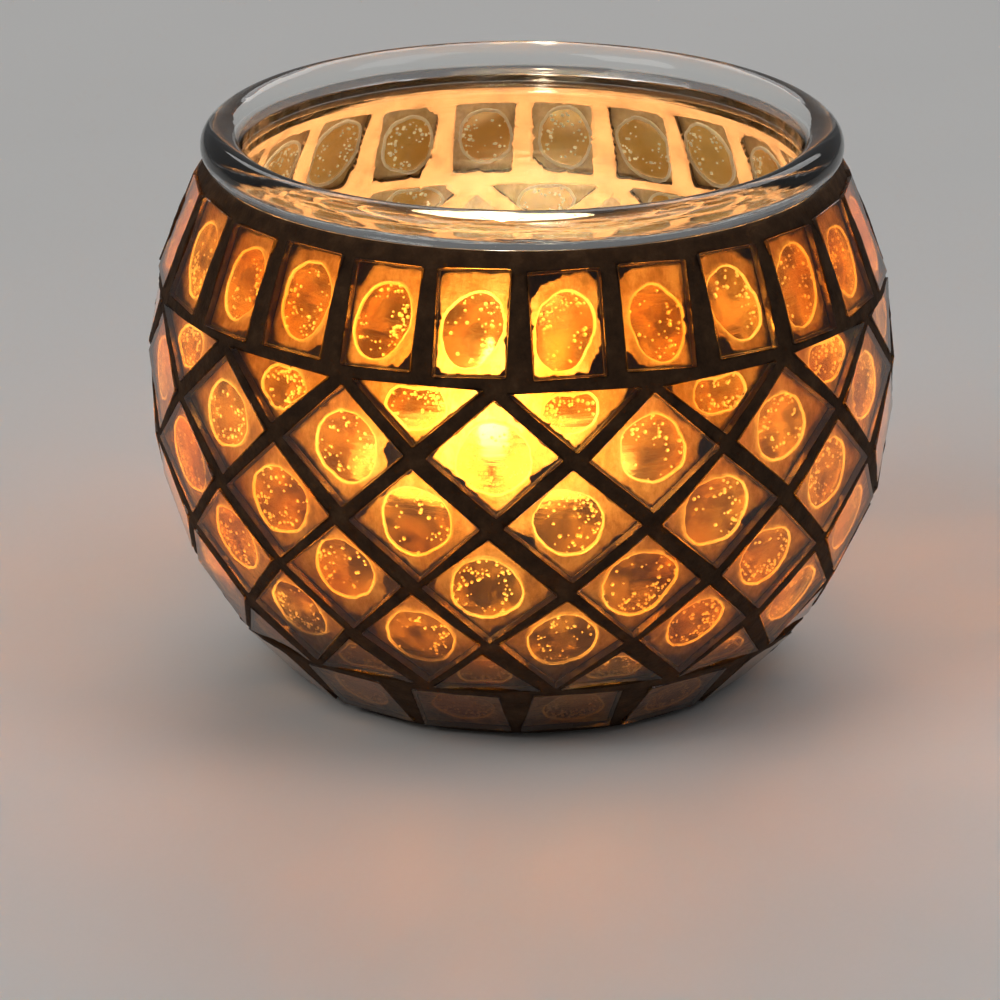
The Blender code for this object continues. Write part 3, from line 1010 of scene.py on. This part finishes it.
def bowl_mesh():
    def wavy(a, radius, height):
        """Slow waves and fine streaks around the neck and the rim."""
        fade = max(0.0, min(1.0, (height - WAVES_FROM_Z) / WAVES_RUN))
        slow = noise.noise(Vector((cos(a), sin(a), height * 40)) * 2.2)
        streak = noise.noise(Vector((cos(a) * 1.4, sin(a) * 1.4, height * 1500)))
        return radius + (BOWL_WAVE * slow * fade + NECK_WAVE * streak * fade), height

    inside = outline(-WALL, NECK_Z, FLOOR + FLOOR_FILLET, BOWL_OUTLINE_COUNT)
    outside = refined(outline(0.0, NECK_Z, FOOT_EDGE, BOWL_OUTLINE_COUNT), BOWL_STEP)
    foot_r = outside[-1][0]
    floor = stepped(0, FLOOR, (0.6, 0), (9, 0), (18, 0)) + stepped(FLOOR_EDGE_R, FLOOR, (-2, 0))
    under = stepped(foot_r, 0, (-0.9, 0)) + stepped(0, 0, (20, 0), (19.2, 0.5), (10, 0.7), (0.6, 0.7))
    line = floor + refined(inside, BOWL_STEP)[::-1] + bead_points(BEAD_COUNT) + outside + under
    rings = [ring_points(r, z, BOWL_STEPS, wavy) for r, z in line]
    return mesh_from("bowl", turned_bmesh(rings, False))


# --- tealight -----------------------------------------------------------------------------------

CUP_LOW, CUP_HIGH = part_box("tealight_cup")
CUP_AXIS = Vector(((CUP_LOW.x + CUP_HIGH.x) / 2, (CUP_LOW.y + CUP_HIGH.y) / 2, CUP_LOW.z))
LIP_R = (CUP_HIGH.x - CUP_LOW.x) / 2
CUP_R = LIP_R - 0.4 * MM
CUP_HEIGHT = CUP_HIGH.z - CUP_LOW.z
WAX_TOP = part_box("wax")[1].z - CUP_LOW.z
WICK_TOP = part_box("wick")[1].z - CUP_LOW.z

CUP_STEPS = 288
CUP_WALL = 0.22 * MM
CUP_BEND_Z = 1.0 * MM
CUP_STRAIGHT = CUP_HEIGHT - 2.6 * MM
CUP_STRAIGHT_COUNT = 16
FLUTES = 48
FLUTE_DEPTH = 0.16 * MM
FLUTE_FOOT = 1.2 * MM
FLUTE_TOP = CUP_HEIGHT - 2.4 * MM
FLUTE_RUN = 2 * MM
FLUTED_WALL = 1 * MM
ROLL_ANGLES = range(-130, 181, 30)
ROLL_TUCK = 0.02 * MM


def moved_to_cup(bm):
    bmesh.ops.translate(bm, verts=bm.verts, vec=CUP_AXIS)
    return bm


def cup_mesh():
    """A pressed cup: dished bottom, fluted wall, rolled lip."""
    def fluted(a, radius, height):
        fade = min(1.0, (height - FLUTE_FOOT) / FLUTE_RUN, (FLUTE_TOP - height) / FLUTE_RUN)
        ridge = abs(sin(a * FLUTES / 2)) if radius > CUP_R - FLUTED_WALL else 0.0
        return radius - FLUTE_DEPTH * max(0.0, fade) * ridge, height

    bottom = stepped(0, 0, (0.5, 0.25), (6, 0.25), (14, 0.25), (15.2, 0))
    bottom += stepped(CUP_R, 0, (-1, 0), (-0.3, 0.3))
    wall = [(CUP_R, CUP_BEND_Z + CUP_STRAIGHT * i / CUP_STRAIGHT_COUNT)
            for i in range(CUP_STRAIGHT_COUNT + 1)]
    roll_r = (LIP_R - CUP_R) / 2
    roll = [(CUP_R + roll_r + roll_r * cos(radians(d)) - ROLL_TUCK,
             CUP_HEIGHT - roll_r + roll_r * sin(radians(d))) for d in ROLL_ANGLES]
    hub, floor = bottom[0], bottom[1:]
    inner = [(hub[0], hub[1] + CUP_WALL)] + [(r - CUP_WALL, z + CUP_WALL) for r, z in floor]
    inner += [(r - CUP_WALL, z) for r, z in wall]
    rings = [ring_points(r, z, CUP_STEPS, fluted) for r, z in bottom + wall + roll + inner[::-1]]
    return mesh_from("candle_cup", moved_to_cup(turned_bmesh(rings, False)))


WAX_R = CUP_R - 0.45 * MM
WAX_STEPS = 128
WAX_UNEVEN_ACROSS = 0.25 * MM
WAX_UNEVEN_UP = 0.12 * MM
WAX_UNEVEN_DEPTH = 3 * MM
POOL_R = 16.6 * MM
POOL_STEPS = 96
POOL_TOP = WAX_TOP - 0.35 * MM


def wax_mesh():
    """The solid wax: a low rim left at the cup, and a basin for the melted wax."""
    def uneven(a, radius, height):
        if height < WAX_TOP - WAX_UNEVEN_DEPTH:
            return radius, height
        spot = Vector((cos(a) * 2, sin(a) * 2, radius * 150))
        return (radius + WAX_UNEVEN_ACROSS * noise.noise(spot) * (radius < WAX_R),
                height + WAX_UNEVEN_UP * noise.noise(spot * 1.7))

    foot = stepped(WAX_R, 0, (-1, 0.7), (0, 1.6))
    rim = stepped(WAX_R, WAX_TOP, (0, -4), (0, 0.2), (-0.3, 0.35), (-0.9, 0.1))
    shore = stepped(POOL_R, WAX_TOP, (0, -0.3), (-1.2, -1), (-3, -1.5))
    bed = stepped(0, WAX_TOP, (8, -2), (3, -2.3), (1.3, -2.4), (1.25, -6))
    rings = [ring_points(r, z, WAX_STEPS, uneven) for r, z in foot + rim + shore + bed]
    return mesh_from("wax_body", moved_to_cup(turned_bmesh(rings, False)))


def pool_mesh():
    """The melted wax, level, with a meniscus at the solid edge and another at the wick."""
    middle = stepped(0, POOL_TOP, (0.95, -1.7), (0.95, 0.55), (1.3, 0.2), (2.2, 0.03), (5, 0), (11, 0))
    shore = stepped(POOL_R, POOL_TOP, (-1.6, 0.02), (-0.9, 0.1), (-0.55, -0.12), (-1.6, -0.55),
                    (-3.4, -1.05))
    bed = stepped(0, POOL_TOP, (8, -1.55), (3, -1.7))
    rings = [ring_points(r, z, POOL_STEPS) for r, z in middle + shore + bed]
    return mesh_from("melt_pool", moved_to_cup(turned_bmesh(rings, True)))


# Shares of the wick's length: straight and bent, even and tapered.
WICK_STRAIGHT, WICK_BENT = 0.80, 0.20
WICK_EVEN, WICK_TAPERED = 0.85, 0.15
WICK_FOOT = 1.2 * MM
WICK_END = WICK_TOP + 0.4 * MM
WICK_LEAN = 1.6 * MM
WICK_NOD = 0.5 * MM
EMBER_LENGTH = 0.9 * MM
STRANDS = 3
STRAND_TURNS = 9
STRAND_STEPS = 120
STRAND_SIDES = 8
STRAND_R = 0.42 * MM
STRAND_LAY_R = 0.38 * MM
NEARBY = 0.01
COTTON, EMBER = 0, 1


def wick_line(share):
    """The wick's middle: upright, then bent over near its burnt end."""
    bend = max(0.0, share - WICK_STRAIGHT) / WICK_BENT
    nod = WICK_NOD * bend ** 2
    return Vector((WICK_LEAN * bend ** 1.6, -nod, WICK_FOOT + (WICK_END - WICK_FOOT) * share - nod))


def wick_mesh():
    """Three cotton strands plaited round each other."""
    bm = bmesh.new()
    around = [tau * k / STRAND_SIDES for k in range(STRAND_SIDES)]
    for strand in range(STRANDS):
        rows = []
        for i in range(STRAND_STEPS + 1):
            share = i / STRAND_STEPS
            before, after = wick_line(max(0.0, share - NEARBY)), wick_line(min(1.0, share + NEARBY))
            ahead = (after - before).normalized()
            side = ahead.cross(Vector((0.0, 1.0, 0.0))).normalized()
            other = ahead.cross(side)
            turn = tau * (strand / STRANDS + share * STRAND_TURNS)
            centre = wick_line(share) + (side * cos(turn) + other * sin(turn)) * STRAND_LAY_R
            tapered = 0.5 * max(0.0, share - WICK_EVEN) / WICK_TAPERED
            thin = STRAND_R * (1.0 - tapered)
            rows.append([bm.verts.new(centre + (side * cos(a) + other * sin(a)) * thin) for a in around])
        for here, there in zip(rows, rows[1:]):
            loop_strip(bm, here, there, COTTON)
        bm.faces.new(rows[0][::-1])
        bm.faces.new(rows[-1])
    for face in bm.faces:
        burning = face.calc_center_median().z > WICK_TOP - EMBER_LENGTH
        face.material_index = EMBER if burning else COTTON
    return mesh_from("burnt_wick", moved_to_cup(bm))


# The flame and its lamp, from the cup's foot and axis.
FLAME_FOOT = 23.2 * MM
FLAME_TOP = 43.5 * MM
CORE_FOOT = FLAME_FOOT + 1.2 * MM
CORE_TOP = FLAME_TOP - 2 * MM
CORE_R = 3.0 * MM
VEIL_R = 4.3 * MM
FLAME_RINGS = 40
FLAME_STEPS = 40
FLAME_LEAN = 0.5 * MM
FLAME_TIP_R = 0.04 * MM
FLAME_TIP = 0.998
CANDLE_POWER = 0.116
CANDLE_COLOR = (1.0, 0.69, 0.36)
CANDLE_R = 2.2 * MM
CANDLE_SPOT = Vector((0.6 * MM, 0.0, 34.0 * MM))


def flame_mesh(name, foot, top, widest, lowest_share):
    """A teardrop round the wick, leaning a little: widest low down, drawn out to a point."""
    rings = []
    for i in range(FLAME_RINGS + 1):
        share = lowest_share + (FLAME_TIP - lowest_share) * i / FLAME_RINGS
        radius = widest * (sin(pi * share ** 0.62) ** 0.9 * (1 - share ** 3 * 0.35))
        z = foot + (top - foot) * share
        shift = Vector((FLAME_LEAN + FLAME_LEAN * share ** 2, 0.0, 0.0))
        rings.append([p + shift for p in ring_points(max(radius, FLAME_TIP_R), z, FLAME_STEPS)])
    return mesh_from(name, moved_to_cup(turned_bmesh(rings, False)))


# --- putting it together ------------------------------------------------------------------------

def add_piece(name, mesh, body, slot, nodes, *materials):
    piece = add_object(name, mesh, *materials)
    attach(piece, body)
    if nodes:
        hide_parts(*nodes)
    return piece


def add_holder():
    tiles = all_tiles()
    add_piece("bowl", bowl_mesh(), "holder", "clear_glass", ["glass_bowl"], clear_glass())
    add_piece("grout_net", grout_mesh(tiles), "holder", "dark_grout", ["grout"],
              dark_grout(), painted_light_and_pale_skin_grout())
    tile_materials = amber_glass(), amber_back(), amber_wetted_back(), amber_bedded_side()
    dot_materials = clear_glue(), glue_edge()
    for tile in tiles:
        add_piece(tile.name, tile_mesh(tile), "holder", "amber_glass", [tile.node_name], *tile_materials)
        dot_name = tile.name.replace("glass", "glue")
        add_piece(dot_name, glue_mesh(tile, dot_name), "holder", None, None, *dot_materials)


def add_flame():
    """The flame and its lamp rise with the tealight; the flame casts no shadow."""
    low, high = CUP_AXIS.z + FLAME_FOOT, CUP_AXIS.z + FLAME_TOP
    core = add_piece("flame_core", flame_mesh("flame_core", CORE_FOOT, CORE_TOP, CORE_R, 0.02),
                     "tealight", None, None, flame_core(low, high))
    veil = add_piece("flame_veil", flame_mesh("flame_veil", FLAME_FOOT, FLAME_TOP, VEIL_R, 0.01),
                     "tealight", None, None, flame_veil(low, high))
    core.visible_shadow = False
    veil.visible_shadow = False
    lamp = bpy.data.lights.new("candle_light", "POINT")
    lamp.energy = CANDLE_POWER
    lamp.color = CANDLE_COLOR
    lamp.shadow_soft_size = CANDLE_R
    light = bpy.data.objects.new("candle_light", lamp)
    bpy.context.scene.collection.objects.link(light)
    light.parent = core
    light.location = CUP_AXIS + CANDLE_SPOT


def add_tealight():
    add_piece("candle_cup", cup_mesh(), "tealight", "pressed_aluminium", ["tealight_cup"],
              pressed_aluminium())
    add_piece("wax_body", wax_mesh(), "tealight", "white_wax", ["wax"], white_wax())
    add_piece("melt_pool", pool_mesh(), "tealight", "white_wax", None, molten_wax())
    add_piece("burnt_wick", wick_mesh(), "tealight", "cotton_wick", ["wick"], charred_cotton(), ember())
    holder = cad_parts["wick_holder"]
    holder.data.materials.clear()
    holder.data.materials.append(tinned_steel())
    add_flame()


# --- studio -------------------------------------------------------------------------------------

FLOOR_REACH = 6.0
SOFTBOX_AIM = Vector((0.0, 0.0, 0.03))
WHITE, WARM_WHITE, COOL_WHITE = (1.0, 1.0, 1.0), (1.0, 0.98, 0.95), (0.95, 0.97, 1.0)
SKY_COLOR = (0.92, 0.93, 0.95, 1.0)
SKY_STRENGTH = 0.16


def aimed(obj, at, target):
    obj.location = at
    obj.rotation_euler = (target - at).to_track_quat("-Z", "Y").to_euler()
    bpy.context.scene.collection.objects.link(obj)


def add_softbox(name, at, size, power, color):
    lamp = bpy.data.lights.new(name, "AREA")
    lamp.shape = "RECTANGLE"
    lamp.size, lamp.size_y = size
    lamp.energy = power
    lamp.color = color
    softbox = bpy.data.objects.new(name, lamp)
    aimed(softbox, Vector(at), SOFTBOX_AIM)
    return softbox


def add_studio():
    bm = bmesh.new()
    bmesh.ops.create_grid(bm, x_segments=8, y_segments=8, size=FLOOR_REACH)
    ground = add_object("studio_floor", mesh_from("studio_floor", bm, False), floor_paint())
    add_softbox("key_softbox", (-0.75, -0.55, 0.9), (0.7, 0.7), 3.5, WARM_WHITE)
    add_softbox("fill_softbox", (0.75, -0.30, 1.05), (0.6, 0.9), 2.2, COOL_WHITE)
    back = add_softbox("back_softbox", (0.1, 1.0, 0.8), (1.0, 0.5), 2.5, WHITE)
    back.visible_transmission = False
    world = bpy.data.worlds.new("studio")
    world.use_nodes = True
    sky = world.node_tree.nodes["Background"]
    sky.inputs["Color"].default_value = SKY_COLOR
    sky.inputs["Strength"].default_value = SKY_STRENGTH
    bpy.context.scene.world = world


def add_camera():
    data = bpy.data.cameras.new("camera")
    data.sensor_width = CAMERA_SENSOR
    data.lens = CAMERA_LENS
    data.clip_end = CAMERA_CLIP_END
    camera = bpy.data.objects.new("camera", data)
    aimed(camera, CAMERA_AT, CAMERA_AIM)
    bpy.context.scene.camera = camera


add_camera()
add_studio()
add_holder()
add_tealight()
bpy.context.scene.view_settings.view_transform = "Standard"
